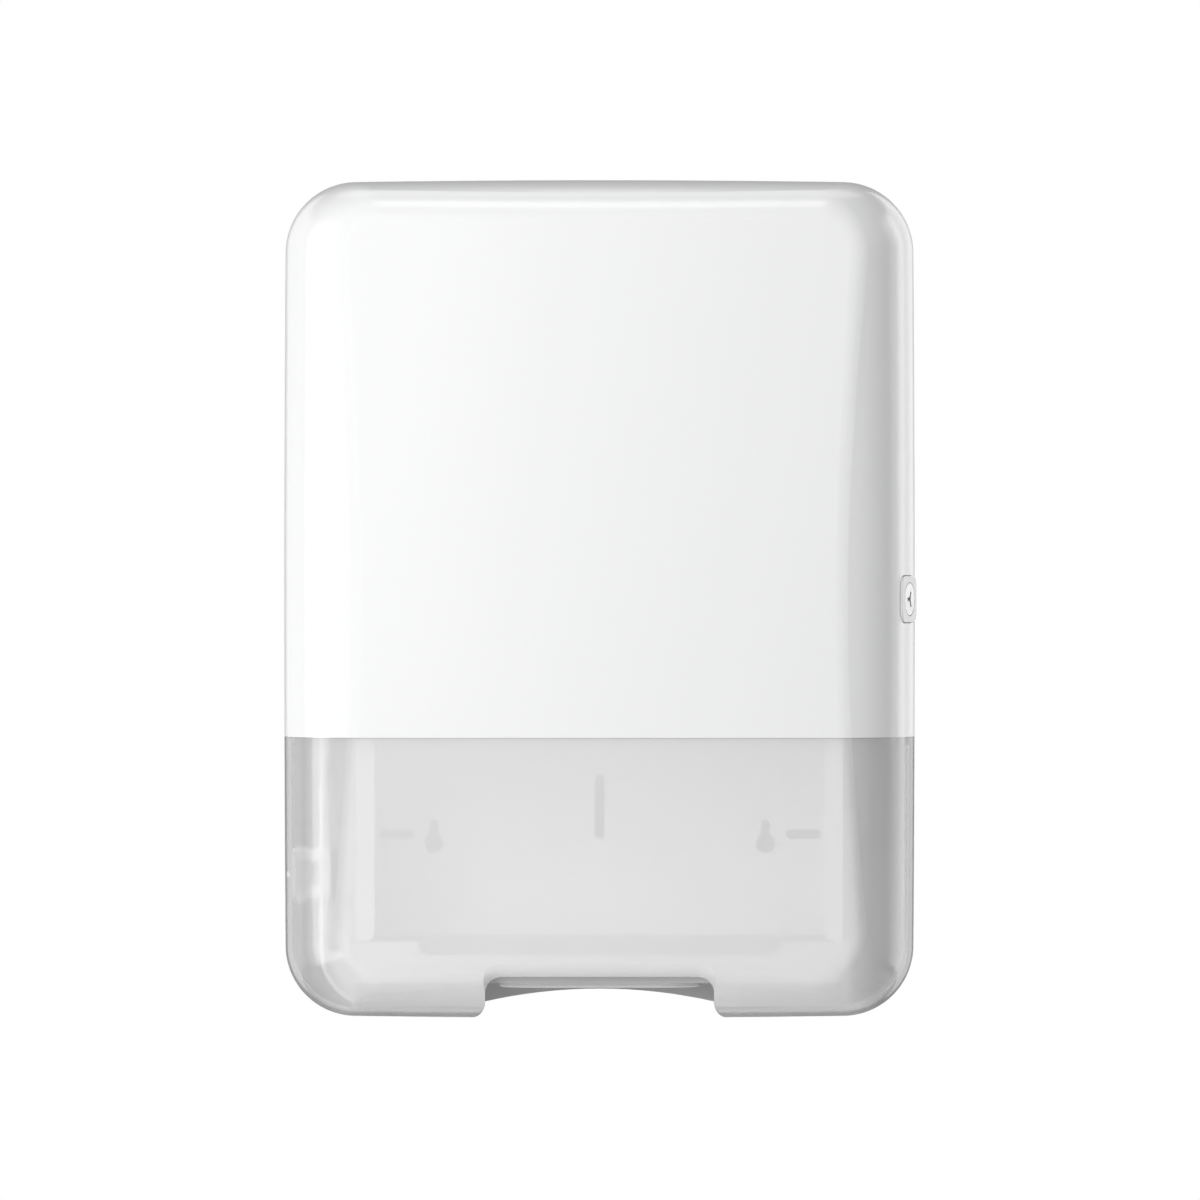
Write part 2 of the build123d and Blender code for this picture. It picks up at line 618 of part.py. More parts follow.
def window_cover():
    """The clear lower part of the cover; its lap reaches up behind the seam."""
    seam = SEAM_Z - SEAM_GAP / 2
    inner = COVER_WALL + SEAT_GAP
    core = form(inner + LAP_WALL)
    shell = notched(0) - notched(COVER_WALL)
    lip_half = CUT_WIDTH / 2 + CUT_FOOT
    shell -= form(COVER_WALL) & block(-lip_half, lip_half, CUT_LIP - DEPTH, 20, -HEIGHT, SEAM_Z)
    wall = shell & slab(-HEIGHT, seam - LAP / 2)
    band = (form(0) & slab(seam - LAP / 2, seam)) - core
    band -= form(COVER_WALL) & block(-WIDTH, WIDTH, -LAP_REAR, 20, seam - LAP, seam + 1)
    lap = (form(inner) - core) & block(-WIDTH, WIDTH, -LAP_REAR, -2 * DEPTH, seam, seam + LAP)
    for box in hook_boxes(0.3):
        lap -= box
    piece = wall + band + lap
    piece -= hinge_relief()
    for seat in leaf_seats(-HINGE_Z):
        piece -= screw_hole(seat, LEAF_SCREW)
    return piece


def hinge_bracket(z):
    """The cover's half of a hinge: a leaf on the side wall and a knuckle on the pin."""
    start = hinge_y - KNUCKLE_R - 0.8
    leaf = block(-WIDTH / 2, leaf_face, start, start - LEAF_LENGTH, z - LEAF_HALF, z + LEAF_HALF)
    leaf = fillet(leaf.edges().filter_by(Axis.X).sort_by(Axis.Y)[:2], 5)
    web = block(-WIDTH / 2, hinge_x, hinge_y, start - 4, z - KNUCKLE_HALF, z + KNUCKLE_HALF)
    web -= block(leaf_face, 0, start - 0.001, -DEPTH, z - HEIGHT, z + HEIGHT)
    piece = leaf + web
    piece &= form(COVER_WALL + SEAT_GAP)
    piece += Pos(hinge_x, hinge_y, z) * Cylinder(KNUCKLE_R, 2 * KNUCKLE_HALF)
    piece -= Pos(hinge_x, hinge_y, z) * Cylinder(PIN_R + PIN_FIT, 4 * KNUCKLE_HALF)
    for seat in leaf_seats(z):
        piece -= screw_hole(seat, LEAF_SCREW)
    return piece


pin_half = KNUCKLE_HALF + KNUCKLE_GAP + LUG


def hinge_pin(z):
    """A steel pin with a head on the upper lug and a groove below the lower one."""
    pin = Pos(hinge_x, hinge_y, z - pin_half - 3) * Cylinder(PIN_R, 2 * pin_half + 3, align=MIN3)
    head = Pos(hinge_x, hinge_y, z + pin_half) * Cylinder(PIN_HEAD_R, PIN_HEAD, align=MIN3)
    head = fillet(head.edges().sort_by(Axis.Z)[-1:], 0.5)
    groove = Pos(hinge_x, hinge_y, z - pin_half - 1.1) * (Cylinder(PIN_R + 1, 0.9) - Cylinder(PIN_R - 0.5, 0.9))
    return pin + head - groove


def pin_clip(z):
    """The retaining ring in a pin's groove."""
    ring = Cylinder(PIN_HEAD_R, 0.7) - Cylinder(PIN_R - 0.45, 0.7)
    ring -= Pos(PIN_HEAD_R, 0, 0) * Box(2 * PIN_HEAD_R, 2 * (PIN_R - 0.9), 2)
    return Pos(hinge_x, hinge_y, z - pin_half - 1.1) * ring


def lock_housing():
    """The square sleeve that guides the button, with an ear for a screw above and below."""
    wide = BUTTON_LONG + 2 * BUTTON_GAP + 2 * HOUSING_WALL
    tall = BUTTON_TALL + 2 * BUTTON_GAP + 2 * HOUSING_WALL
    sleeve = LOCK * (Pos(0, 0, -HOUSING_DEPTH) * extrude(rounded(wide, tall, BUTTON_CORNER + HOUSING_WALL),
                                                        HOUSING_DEPTH + 6))
    ears = LOCK * (Pos(0, 0, -EAR_DEPTH) * extrude(rounded(wide * 0.6, tall + 2 * EAR, 4), EAR_DEPTH + 6))
    piece = sleeve + ears
    piece -= button_hole(BUTTON_GAP, -HOUSING_DEPTH + HOUSING_FLOOR, 10)
    piece -= LOCK * Cylinder(barrel_r + BARREL_FIT, 4 * HOUSING_DEPTH)
    piece &= form(COVER_WALL + SEAT_GAP)
    for seat in ear_seats():
        piece -= screw_hole(seat, EAR_SCREW)
    return piece


def push_button():
    """The button's plate with the barrel that the key cylinder turns in."""
    plate = Pos(0, 0, -BUTTON_PLATE) * extrude(rounded(BUTTON_LONG, BUTTON_TALL, BUTTON_CORNER), BUTTON_PLATE)
    plate = fillet(plate.faces().sort_by(Axis.Z)[-1].edges(), 0.8)
    barrel = Pos(0, 0, -BUTTON_PLATE + 0.5) * Cylinder(barrel_r, -barrel_end - BUTTON_PLATE + 0.5, align=MAX3)
    seat = Cylinder(CYLINDER_R + TURN_FIT, 2 * (CYLINDER_HEAD + 0.1))
    bore = Cylinder(CYLINDER_BODY_R + TURN_FIT, 60)
    return LOCK * (plate + barrel - seat - bore)


def key_cylinder():
    """The lock's barrel: a round head with a three-armed key slot."""
    head = Pos(0, 0, -CYLINDER_HEAD) * Cylinder(CYLINDER_R, CYLINDER_HEAD, align=MIN3)
    head = chamfer(head.edges().sort_by(Axis.Z)[-1:], 0.4)
    body = Cylinder(CYLINDER_BODY_R, -tongue_out, align=MAX3)
    arms = Cylinder(KEY_SLOT_W, 2 * KEY_SLOT_DEEP)
    for angle in (60, 180, 300):
        arms += Rot(0, 0, angle) * (Pos(KEY_SLOT_R / 2, 0, 0) * Box(KEY_SLOT_R, KEY_SLOT_W, 2 * KEY_SLOT_DEEP))
    hole = Pos(0, 0, tongue_out) * Cylinder(SCREW_R + SCREW_FIT, 14)
    groove = Pos(0, 0, clip_face - CLIP / 2) * (Cylinder(CYLINDER_R + 2, CLIP + 0.1)
                                                - Cylinder(CYLINDER_BODY_R - GROOVE, CLIP + 0.1))
    return LOCK * (head + body - arms - hole - groove)


def cylinder_clip():
    """The ring that holds the cylinder in the barrel and the button in its housing."""
    ring = Cylinder(CLIP_R, CLIP) - Cylinder(CYLINDER_BODY_R - GROOVE + 0.05, CLIP)
    ring -= Pos(-CLIP_R, 0, 0) * Box(2 * CLIP_R, 2 * (CYLINDER_BODY_R - 2), 2 * CLIP)
    return LOCK * (Pos(0, 0, clip_face - CLIP / 2) * ring)


def cam_tongue():
    """The tongue on the cylinder's inner end; at rest it points to the wall."""
    length = TONGUE_LENGTH - TONGUE_WIDTH / 2
    face = Circle(TONGUE_WIDTH * 0.7) + Pos(length / 2, 0) * Rectangle(length, TONGUE_WIDTH)
    face += Pos(length, 0) * Circle(TONGUE_WIDTH / 2)
    face -= Circle(SCREW_R + SCREW_FIT)
    return LOCK * (Pos(0, 0, tongue_in) * extrude(face, TONGUE))


def cam_screw():
    """The screw that holds the tongue on the cylinder."""
    place = Plane(origin=lock_point(0, 0, tongue_in), x_dir=LOCK.x_dir, z_dir=-LOCK.z_dir)
    return screw(place, TONGUE + 6)


def button_spring():
    """The return spring between the button's plate and the housing's floor."""
    low = -HOUSING_DEPTH + HOUSING_FLOOR + SPRING_WIRE / 2
    high = -BUTTON_PLATE - SPRING_GAP - SPRING_WIRE / 2
    path = Helix((high - low) / SPRING_TURNS, high - low, SPRING_R)
    wire = sweep(Plane(origin=path @ 0, z_dir=path % 0) * RegularPolygon(SPRING_WIRE / 2, 6), path, is_frenet=True)
    return LOCK * (Pos(0, 0, low) * wire)


def group(pieces):
    """Several solids in one node."""
    solids = []
    for piece in pieces:
        solids += list(piece.solids())
    return Compound(solids)


def main():
    """Build every node and write it to its own file."""
    nodes = {
        "back_plate": back_plate(),
        "left_side_guide": side_guide(-1),
        "right_side_guide": side_guide(1),
        "guide_screws": group([screw(s, GUIDE_SCREW) for s in guide_seats(-1) + guide_seats(1)]),
        "towel_tray": towel_tray(),
        "tray_screws": group([screw(s, TRAY_SCREW) for s in tray_seats()]),
        "mouth_lip": mouth_lip(),
        "latch_arm": latch_arm(),
        "latch_arm_screws": group([screw(s, ARM_SCREW) for s in arm_seats()]),
        "keeper": keeper(),
        "keeper_screws": group([screw(s, KEEPER_SCREW) for s in keeper_seats()]),
        "hinge_pins": group([hinge_pin(z) for z in (-HINGE_Z, HINGE_Z)]),
        "pin_clips": group([pin_clip(z) for z in (-HINGE_Z, HINGE_Z)]),
        "upper_cover": upper_cover(),
        "window_cover": window_cover(),
        "upper_hinge_bracket": hinge_bracket(HINGE_Z),
        "lower_hinge_bracket": hinge_bracket(-HINGE_Z),
        "hinge_bracket_screws": group([screw(s, LEAF_SCREW) for s in leaf_seats(-HINGE_Z) + leaf_seats(HINGE_Z)]),
        "lock_housing": lock_housing(),
        "housing_screws": group([screw(s, EAR_SCREW) for s in ear_seats()]),
        "push_button": push_button(),
        "button_spring": button_spring(),
        "key_cylinder": key_cylinder(),
        "cylinder_clip": cylinder_clip(),
        "cam_tongue": cam_tongue(),
        "cam_screw": cam_screw(),
    }
    os.makedirs("parts", exist_ok=True)
    for name, shape in nodes.items():
        export_step(shape, f"parts/{name}.step")
        print(name, len(shape.solids()), round(shape.volume, 1))
    print("lock x", round(lock_x, 3), "arm right", round(arm_right, 3), "keeper back", round(keeper_back, 3))


main()
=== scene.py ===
"""Looks of a wall-mounted folded towel dispenser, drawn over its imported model.

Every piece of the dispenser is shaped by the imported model. This script gives each one its
finish and puts up the floor, the lamps, the surroundings and the camera.
"""

import logging
import math
from dataclasses import dataclass, field
from enum import Enum
from typing import Any, ClassVar

import bmesh
import bpy
from mathutils import Matrix, Vector

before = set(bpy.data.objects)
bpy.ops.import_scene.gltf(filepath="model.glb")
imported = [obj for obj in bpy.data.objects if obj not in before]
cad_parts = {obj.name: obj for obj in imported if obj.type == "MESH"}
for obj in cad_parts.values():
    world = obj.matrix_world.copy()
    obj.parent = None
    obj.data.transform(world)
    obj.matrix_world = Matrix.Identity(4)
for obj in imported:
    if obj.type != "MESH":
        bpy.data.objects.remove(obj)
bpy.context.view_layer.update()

log = logging.getLogger("dispenser")
Colour = tuple[float, float, float]
Point = tuple[float, float, float]
Span = tuple[float, float]


class Wire:
    """A number socket that takes part in Python arithmetic."""

    def __init__(self, bench: "Bench", socket: bpy.types.NodeSocket) -> None:
        """Hold a socket and the bench that adds its Math nodes.

        Args:
            bench: the node bench of the material.
            socket: an output socket with a number.
        """
        self.bench = bench
        self.socket = socket

    def _with(self, operation: str, first: Any, second: Any) -> "Wire":
        """Add one Math node.

        Args:
            operation: the Math node's operation.
            first: the first value or wire.
            second: the second value or wire.

        Returns:
            The node's result.
        """
        node = self.bench.add("ShaderNodeMath", {"operation": operation}, {0: first, 1: second})
        return Wire(self.bench, node.outputs[0])

    def __add__(self, other: Any) -> "Wire":
        """Sum with a value or wire."""
        return self._with("ADD", self, other)

    def __radd__(self, other: Any) -> "Wire":
        """Sum with a value on the left."""
        return self._with("ADD", other, self)

    def __sub__(self, other: Any) -> "Wire":
        """Difference from a value or wire."""
        return self._with("SUBTRACT", self, other)

    def __rsub__(self, other: Any) -> "Wire":
        """Difference of a value on the left."""
        return self._with("SUBTRACT", other, self)

    def __mul__(self, other: Any) -> "Wire":
        """Product with a value or wire."""
        return self._with("MULTIPLY", self, other)

    def __rmul__(self, other: Any) -> "Wire":
        """Product with a value on the left."""
        return self._with("MULTIPLY", other, self)

    def __abs__(self) -> "Wire":
        """Size without the sign."""
        return self._with("ABSOLUTE", self, 0.0)

    def over(self, low: float, high: float) -> "Wire":
        """Rise from nought to one between two values.

        Args:
            low: the value that gives nought.
            high: the value that gives one.

        Returns:
            The clamped rise.
        """
        node = self.bench.add("ShaderNodeMapRange", {"clamp": True},
                              {"Value": self, "From Min": low, "From Max": high})
        return Wire(self.bench, node.outputs[0])


class Bench:
    """The node tree of one material or of the world."""

    MIX_FACTOR: ClassVar[int] = 0
    MIX_FIRST: ClassVar[int] = 6
    MIX_SECOND: ClassVar[int] = 7
    MIX_RESULT: ClassVar[int] = 2

    def __init__(self, tree: bpy.types.NodeTree) -> None:
        """Empty a tree and keep it.

        Args:
            tree: the node tree to fill.
        """
        self.tree = tree
        tree.nodes.clear()

    def add(self, kind: str, settings: dict[str, Any] | None = None,
            sockets: dict[Any, Any] | None = None) -> bpy.types.Node:
        """Add a node with its settings, then its values and links.

        Args:
            kind: the node's type.
            settings: attributes of the node, such as a Math node's operation.
            sockets: input names or numbers with a value, wire or output socket.

        Returns:
            The node.
        """
        node = self.tree.nodes.new(kind)
        for name, value in (settings or {}).items():
            setattr(node, name, value)
        for name, value in (sockets or {}).items():
            target = node.inputs[name]
            if isinstance(value, Wire):
                self.tree.links.new(value.socket, target)
            elif isinstance(value, bpy.types.NodeSocket):
                self.tree.links.new(value, target)
            else:
                target.default_value = value
        return node

    def place(self, stretch: Point) -> bpy.types.NodeSocket:
        """The object's own coordinates, stretched.

        Args:
            stretch: factor along each axis.

        Returns:
            The vector socket.
        """
        coords = self.add("ShaderNodeTexCoord")
        mapping = self.add("ShaderNodeMapping", {},
                           {"Vector": coords.outputs["Object"], "Scale": stretch})
        return mapping.outputs[0]

    def noise(self, scale: float, detail: float = 3.0, rough: float = 0.5,
              stretch: Point = (1.0, 1.0, 1.0)) -> Wire:
        """Smooth noise over the object.

        Args:
            scale: waves in a metre.
            detail: octaves.
            rough: strength of the finer octaves.
            stretch: factor on the waves along each axis.

        Returns:
            A wire about a half.
        """
        node = self.add("ShaderNodeTexNoise", {"noise_dimensions": "3D"},
                        {"Vector": self.place(stretch), "Scale": scale, "Detail": detail,
                         "Roughness": rough})
        return Wire(self, node.outputs[0])

    def side_mask_for_painted_shade(self) -> Wire:
        """How far the surface is turned to the left or right side of the object.

        Returns:
            Nought on the front, back, top and bottom, one on the sides.
        """
        # The mask of a painted shade: it only serves to darken the colour on the sides.
        coords = self.add("ShaderNodeTexCoord")
        parts = self.add("ShaderNodeSeparateXYZ", {}, {0: coords.outputs["Normal"]})
        return abs(Wire(self, parts.outputs[0]))

    def mix(self, amount: Any, first: Any, second: Any) -> bpy.types.NodeSocket:
        """Mix two colours.

        Args:
            amount: share of the second colour.
            first: the first colour, or its socket.
            second: the second colour, or its socket.

        Returns:
            The colour socket.
        """
        one = (*first, 1.0) if isinstance(first, tuple) else first
        two = (*second, 1.0) if isinstance(second, tuple) else second
        node = self.add("ShaderNodeMix", {"data_type": "RGBA"},
                        {self.MIX_FACTOR: amount, self.MIX_FIRST: one, self.MIX_SECOND: two})
        return node.outputs[self.MIX_RESULT]

    def bump(self, height: Wire, depth: float, strength: float) -> bpy.types.NodeSocket:
        """A relief for the Normal socket.

        Args:
            height: the relief, from nought to one.
            depth: the depth of one, in metres.
            strength: how much of it shows.

        Returns:
            The normal socket.
        """
        node = self.add("ShaderNodeBump", {},
                        {"Height": height, "Distance": depth, "Strength": strength})
        return node.outputs[0]


def new_material(name: str) -> tuple[bpy.types.Material, Bench]:
    """Make an empty node material.

    Args:
        name: the material's name.

    Returns:
        The material and its bench.
    """
    material = bpy.data.materials.new(name)
    material.use_nodes = True
    return material, Bench(material.node_tree)


@dataclass(frozen=True)
class MouldedPlastic:
    """Injection-moulded plastic: a faint mottle, a fine grain and slight wear in its gloss.

    The mottle is the share that the darker clouds lose, grain is in waves to the metre and
    depth in metres. The painted side shade share is the share of the colour that is left on
    the left and right sides: a painted shade that darkens the sides of a clear piece.
    """

    CLOUD_SCALE: ClassVar[float] = 7.0
    CLOUD_SPAN: ClassVar[Span] = (0.3, 0.7)
    FLOW_SCALE: ClassVar[float] = 26.0
    FLOW_ROUGH: ClassVar[float] = 0.6
    FLOW_STRETCH: ClassVar[Point] = (1.0, 1.0, 0.35)
    FLOW_SHARE: ClassVar[float] = 0.05
    PAINTED_SIDE_SHADE_SPAN: ClassVar[Span] = (0.25, 0.62)
    COAT_ROUGHNESS: ClassVar[float] = 0.12
    GRAIN_STRENGTH: ClassVar[float] = 0.35

    name: str
    colour: Colour
    roughness: float
    mottle: float
    grain: float
    depth: float
    coat: float = 0.0
    alpha: float = 1.0
    # Painted glow: the strength at which the piece gives off its own colour as light, though it
    # is no lamp.
    painted_glow: float = 0.0
    painted_side_shade_share: float = 1.0

    def build(self) -> bpy.types.Material:
        """Make the material.

        Returns:
            The material.
        """
        material, bench = new_material(self.name)
        clouds = bench.noise(self.CLOUD_SCALE, detail=2.0)
        fine = bench.noise(self.grain, detail=2.0)
        flow = bench.noise(self.FLOW_SCALE, rough=self.FLOW_ROUGH, stretch=self.FLOW_STRETCH)
        dark = tuple(c * (1 - self.mottle) for c in self.colour)
        colour = bench.mix(clouds.over(*self.CLOUD_SPAN), dark, self.colour)
        # Painted shade: the colour is darkened on the left and right sides, where the surface
        # turns away from the front.
        if self.painted_side_shade_share < 1.0:
            painted_side_shade_colour = tuple(c * self.painted_side_shade_share for c in self.colour)
            colour = bench.mix(bench.side_mask_for_painted_shade().over(*self.PAINTED_SIDE_SHADE_SPAN), colour, painted_side_shade_colour)
        rough = self.roughness + (flow - 0.5) * (self.FLOW_SHARE * self.roughness)
        # The emission is a painted glow, standing in for light scattered inside a clear piece.
        shader = bench.add("ShaderNodeBsdfPrincipled", {}, {
            "Base Color": colour, "Roughness": rough,
            "Coat Weight": self.coat, "Coat Roughness": self.COAT_ROUGHNESS,
            "Alpha": self.alpha, "Emission Color": colour, "Emission Strength": self.painted_glow,
            "Normal": bench.bump(fine, self.depth, self.GRAIN_STRENGTH),
        })
        bench.add("ShaderNodeOutputMaterial", {}, {"Surface": shader.outputs[0]})
        return material


@dataclass(frozen=True)
class PlatedMetal:
    """Zinc-plated or chromed metal with a brushed grain and duller spots.

    Brush stretches the grain along each axis, and a metallic share below one is a satin
    plating that scatters some light.
    """

    GRAIN_SCALE: ClassVar[float] = 700.0
    GRAIN_ROUGH: ClassVar[float] = 0.6
    GRAIN_DEPTH: ClassVar[float] = 0.00001
    GRAIN_STRENGTH: ClassVar[float] = 0.4
    GRAIN_SHARE: ClassVar[float] = 0.16
    SPOT_SCALE: ClassVar[float] = 90.0
    SPOT_SPAN: ClassVar[Span] = (0.35, 0.75)
    SPOT_SHARE: ClassVar[float] = 0.82

    name: str
    colour: Colour
    roughness: float
    brush: Point
    metallic: float

    def build(self) -> bpy.types.Material:
        """Make the material.

        Returns:
            The material.
        """
        material, bench = new_material(self.name)
        lines = bench.noise(self.GRAIN_SCALE, rough=self.GRAIN_ROUGH, stretch=self.brush)
        spots = bench.noise(self.SPOT_SCALE)
        dull = tuple(c * self.SPOT_SHARE for c in self.colour)
        colour = bench.mix(spots.over(*self.SPOT_SPAN), self.colour, dull)
        rough = self.roughness + (lines - 0.5) * self.GRAIN_SHARE
        shader = bench.add("ShaderNodeBsdfPrincipled", {}, {
            "Base Color": colour, "Metallic": self.metallic, "Roughness": rough,
            "Normal": bench.bump(lines, self.GRAIN_DEPTH, self.GRAIN_STRENGTH),
        })
        bench.add("ShaderNodeOutputMaterial", {}, {"Surface": shader.outputs[0]})
        return material


class Finish(Enum):
    """The finishes on the dispenser."""

    COVER = MouldedPlastic(
        name="cover_white", colour=(0.86, 0.862, 0.866), roughness=0.28, mottle=0.004,
        grain=500.0, depth=0.000001, coat=0.3)
    BUTTON = MouldedPlastic(
        name="button_white", colour=(0.84, 0.842, 0.846), roughness=0.3, mottle=0.012,
        grain=1100.0, depth=0.000012, coat=0.2)
    # Painted glow: the window gives off a little of its own colour as light.
    # Painted shade darkens the window's sides.
    WINDOW = MouldedPlastic(
        name="window_clear", colour=(0.94, 0.94, 0.941), roughness=0.16, mottle=0.004,
        grain=500.0, depth=0.000001, coat=0.4, alpha=0.44, painted_glow=0.10, painted_side_shade_share=0.74)
    CHASSIS = MouldedPlastic(
        name="chassis_grey", colour=(0.92, 0.921, 0.922), roughness=0.5, mottle=0.03,
        grain=1300.0, depth=0.00004)
    # Painted shade: the magazine guides and the tray wear the chassis plastic painted darker,
    # standing in for the shade they sit in behind the window.
    MAGAZINE_SHADED = MouldedPlastic(
        name="magazine_painted_shade", colour=(0.66, 0.662, 0.665), roughness=0.5, mottle=0.03,
        grain=1300.0, depth=0.00004)
    TRAY_SHADED = MouldedPlastic(
        name="tray_painted_shade", colour=(0.5, 0.502, 0.505), roughness=0.5, mottle=0.03,
        grain=1300.0, depth=0.00004)
    LIP = MouldedPlastic(
        name="lip_white", colour=(0.82, 0.82, 0.815), roughness=0.3, mottle=0.02,
        grain=900.0, depth=0.00002, coat=0.2)
    LOCK = MouldedPlastic(
        name="lock_plastic", colour=(0.62, 0.63, 0.64), roughness=0.42, mottle=0.03,
        grain=1200.0, depth=0.00004)
    ZINC = PlatedMetal(
        name="zinc_steel", colour=(0.66, 0.67, 0.69), roughness=0.34,
        brush=(1.0, 1.0, 12.0), metallic=0.8)
    CHROME = PlatedMetal(
        name="lock_chrome", colour=(0.64, 0.642, 0.645), roughness=0.24,
        brush=(10.0, 1.0, 1.0), metallic=0.4)


class Wardrobe:
    """Builds each finish once."""

    def __init__(self) -> None:
        """Start with no finish built."""
        self.made: dict[Finish, bpy.types.Material] = {}

    def take(self, finish: Finish) -> bpy.types.Material:
        """The material of a finish.

        Args:
            finish: the finish that is wanted.

        Returns:
            The material, built the first time it is asked for.
        """
        if finish not in self.made:
            self.made[finish] = finish.value.build()
        return self.made[finish]


@dataclass
class SubAssembly:
    """Pieces that belong together and the finishes that they wear."""

    wardrobe: Wardrobe
    dress: dict[str, Finish] = field(default_factory=dict)

    def wear(self, node: str, finish: Finish) -> None:
        """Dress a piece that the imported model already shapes.

        Args:
            node: the piece's name.
            finish: what it wears.
        """
        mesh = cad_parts[node].data
        mesh.materials.clear()
        mesh.materials.append(self.wardrobe.take(finish))
        log.info("%s wears %s", node, finish.value.name)

    def build(self) -> None:
        """Dress every piece of the sub-assembly."""
        for node, finish in self.dress.items():
            self.wear(node, finish)


@dataclass
class WallSide(SubAssembly):
    """The back plate with the magazine, the tray, the latch arm and the keeper."""

    dress: dict[str, Finish] = field(default_factory=lambda: {
        "back_plate": Finish.CHASSIS,
        # The guides and the tray wear darker copies of the chassis plastic: painted shade.
        "left_side_guide": Finish.MAGAZINE_SHADED,
        "right_side_guide": Finish.MAGAZINE_SHADED,
        "towel_tray": Finish.TRAY_SHADED,
        "latch_arm": Finish.CHASSIS,
        "mouth_lip": Finish.LIP,
        "guide_screws": Finish.ZINC,
        "tray_screws": Finish.ZINC,
        "latch_arm_screws": Finish.ZINC,
        "keeper": Finish.ZINC,
        "keeper_screws": Finish.ZINC,
        "hinge_pins": Finish.ZINC,
        "pin_clips": Finish.ZINC,
    })


@dataclass
class Cover(SubAssembly):
    """The swinging cover: the white shell, its clear window and what is fixed inside."""

    dress: dict[str, Finish] = field(default_factory=lambda: {
        "upper_cover": Finish.COVER,
        "window_cover": Finish.WINDOW,
        "upper_hinge_bracket": Finish.LOCK,
        "lower_hinge_bracket": Finish.LOCK,
        "hinge_bracket_screws": Finish.ZINC,
        "lock_housing": Finish.LOCK,
        "housing_screws": Finish.ZINC,
        "button_spring": Finish.ZINC,
    })


@dataclass
class Lock(SubAssembly):
    """The push button, and the key cylinder in it with its clip, tongue and screw."""

    dress: dict[str, Finish] = field(default_factory=lambda: {
        "push_button": Finish.BUTTON,
        "key_cylinder": Finish.CHROME,
        "cylinder_clip": Finish.ZINC,
        "cam_tongue": Finish.ZINC,
        "cam_screw": Finish.ZINC,
    })


@dataclass
class Lamp:
    """A soft rectangular lamp, in metres and watts.

    Without diffuse it only shows as a streak in the gloss, and without glossy it only
    lights and leaves no streak.
    """

    name: str
    place: Point
    target: Point
    size: Span
    power: float
    diffuse: bool = True
    glossy: bool = True

    def build(self) -> None:
        """Put the lamp in the scene, facing its target."""
        data = bpy.data.lights.new(self.name, "AREA")
        data.shape = "RECTANGLE"
        data.size, data.size_y = self.size
        data.energy = self.power
        lamp = bpy.data.objects.new(self.name, data)
        bpy.context.scene.collection.objects.link(lamp)
        lamp.location = self.place
        lamp.visible_diffuse = self.diffuse
        lamp.visible_glossy = self.glossy
        aim = Vector(self.target) - Vector(self.place)
        lamp.rotation_euler = aim.to_track_quat("-Z", "Y").to_euler()


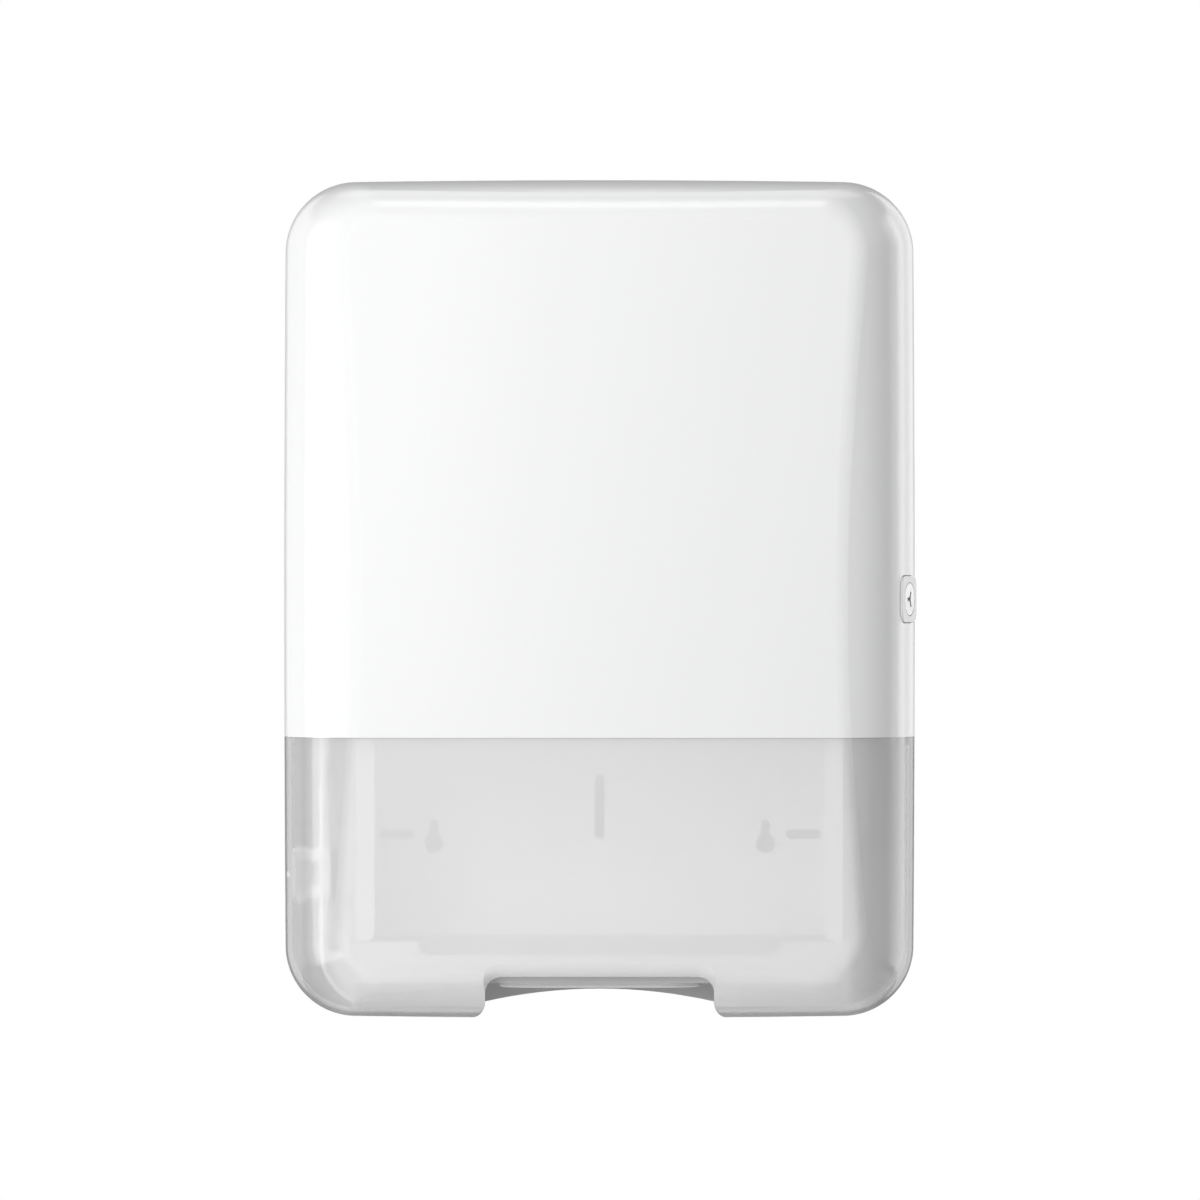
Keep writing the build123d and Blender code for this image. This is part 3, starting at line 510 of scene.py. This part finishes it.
@dataclass
class Studio:
    """Pale floor, soft lamps, white surroundings and the camera, in metres.

    Frame width is what the camera takes in at the centre, ambient is the strength of the
    surroundings as light, and the painted shade strength is their strength where they are seen
    through the window: a painted shade that stands in for the shadowed space behind the
    dispenser.
    """

    SENSOR: ClassVar[float] = 36.0
    FAR: ClassVar[float] = 50.0
    FLOOR_SPECK: ClassVar[float] = 60.0
    FLOOR_SPAN: ClassVar[Span] = (0.3, 0.7)
    FLOOR_DARK: ClassVar[Colour] = (0.80, 0.80, 0.80)
    FLOOR_PALE: ClassVar[Colour] = (0.84, 0.84, 0.84)
    FLOOR_ROUGHNESS: ClassVar[float] = 0.7
    WHITE: ClassVar[tuple[float, float, float, float]] = (1.0, 1.0, 1.0, 1.0)

    distance: float = 5.5
    frame_width: float = 0.633
    centre: Point = (0.00026, -0.03, -0.0004)
    floor_z: float = -0.75
    floor_size: float = 2.2
    ambient: float = 0.25
    # Painted shade: nearly black surroundings where they are seen through the window.
    painted_shade_strength: float = 0.01
    lamps: list[Lamp] = field(default_factory=lambda: [
        Lamp("key_lamp", place=(-0.80, -2.46, 0.50), target=(0.0, 0.0, 0.0),
             size=(1.2, 1.6), power=48.5, glossy=False),
        Lamp("left_strip", place=(-1.2, -0.12, 0.0), target=(-0.1, -0.06, 0.0),
             size=(0.5, 1.5), power=11.5, diffuse=False),
        Lamp("left_fill", place=(-1.3, 0.1, 0.0), target=(-0.1, -0.06, 0.0),
             size=(0.6, 1.5), power=4.2),
        Lamp("right_side", place=(1.30, 0.75, 0.1), target=(0.16, 0.0, 0.0),
             size=(0.8, 1.6), power=5.2),
        Lamp("right_rim", place=(1.00, 1.25, 0.1), target=(0.16, 0.0, 0.0),
             size=(1.2, 1.6), power=7.0),
        Lamp("left_rim", place=(-1.06, 1.2, 0.1), target=(-0.16, 0.0, 0.0),
             size=(1.2, 1.6), power=5.0),
        Lamp("top_strip", place=(0.0, -0.58, 1.32), target=(0.0, -0.13, 0.205),
             size=(0.66, 0.5), power=2.8),
        Lamp("top_rim", place=(0.0, 0.6, 1.3), target=(0.0, -0.05, 0.2),
             size=(1.4, 0.8), power=3.2),
        Lamp("low_fill", place=(-1.1, -0.8, -1.0), target=(-0.1, -0.1, -0.17),
             size=(1.0, 0.7), power=10.0),
    ])

    def floor(self) -> None:
        """Lay the floor."""
        mesh = bpy.data.meshes.new("floor")
        shape = bmesh.new()
        bmesh.ops.create_grid(shape, x_segments=2, y_segments=2, size=self.floor_size / 2,
                              matrix=Matrix.Translation((0.0, 0.0, self.floor_z)))
        shape.to_mesh(mesh)
        shape.free()
        piece = bpy.data.objects.new("floor", mesh)
        bpy.context.scene.collection.objects.link(piece)
        material, bench = new_material("floor_pale")
        speck = bench.noise(self.FLOOR_SPECK)
        colour = bench.mix(speck.over(*self.FLOOR_SPAN), self.FLOOR_DARK, self.FLOOR_PALE)
        shader = bench.add("ShaderNodeBsdfPrincipled", {},
                           {"Base Color": colour, "Roughness": self.FLOOR_ROUGHNESS})
        bench.add("ShaderNodeOutputMaterial", {}, {"Surface": shader.outputs[0]})
        mesh.materials.append(material)

    def surroundings(self) -> None:
        """White where the camera looks past the dispenser, dimmer where it only lights it, and
        nearly black through the window as painted shade.
        """
        world = bpy.data.worlds.new("surroundings")
        bpy.context.scene.world = world
        world.use_nodes = True
        bench = Bench(world.node_tree)
        path = bench.add("ShaderNodeLightPath")
        seen = Wire(bench, path.outputs["Is Camera Ray"])
        # Painted shade: camera rays that pass through the window see the surroundings nearly
        # black, standing in for the shadowed space behind the dispenser.
        through = Wire(bench, path.outputs["Transparent Depth"]).over(0.5, 1.0)
        light, plain, painted_shade_backdrop = (
            bench.add("ShaderNodeBackground", {}, {"Color": self.WHITE, "Strength": strength})
            for strength in (self.ambient, 1.0, self.painted_shade_strength))
        view = bench.add("ShaderNodeMixShader", {},
                         {0: through, 1: plain.outputs[0], 2: painted_shade_backdrop.outputs[0]})
        both = bench.add("ShaderNodeMixShader", {},
                         {0: seen, 1: light.outputs[0], 2: view.outputs[0]})
        bench.add("ShaderNodeOutputWorld", {}, {"Surface": both.outputs[0]})

    def camera(self) -> None:
        """Set the camera at the photograph's frontal angle."""
        data = bpy.data.cameras.new("camera")
        data.sensor_fit = "HORIZONTAL"
        data.sensor_width = self.SENSOR
        data.lens = self.SENSOR * self.distance / self.frame_width
        data.clip_end = self.FAR
        camera = bpy.data.objects.new("camera", data)
        bpy.context.scene.collection.objects.link(camera)
        x, y, z = self.centre
        camera.location = (x, y - self.distance, z)
        camera.rotation_euler = (math.radians(90.0), 0.0, 0.0)
        bpy.context.scene.camera = camera

    def build(self) -> None:
        """Put up floor, lamps, surroundings and camera."""
        self.floor()
        for lamp in self.lamps:
            lamp.build()
        self.surroundings()
        self.camera()
        bpy.context.scene.view_settings.view_transform = "Standard"


def main() -> None:
    """Dress the dispenser and put up the studio."""
    logging.basicConfig(level=logging.INFO, format="%(name)s: %(message)s")
    wardrobe = Wardrobe()
    for part in (WallSide, Cover, Lock):
        part(wardrobe=wardrobe).build()
    Studio().build()


if __name__ == "__main__":
    main()
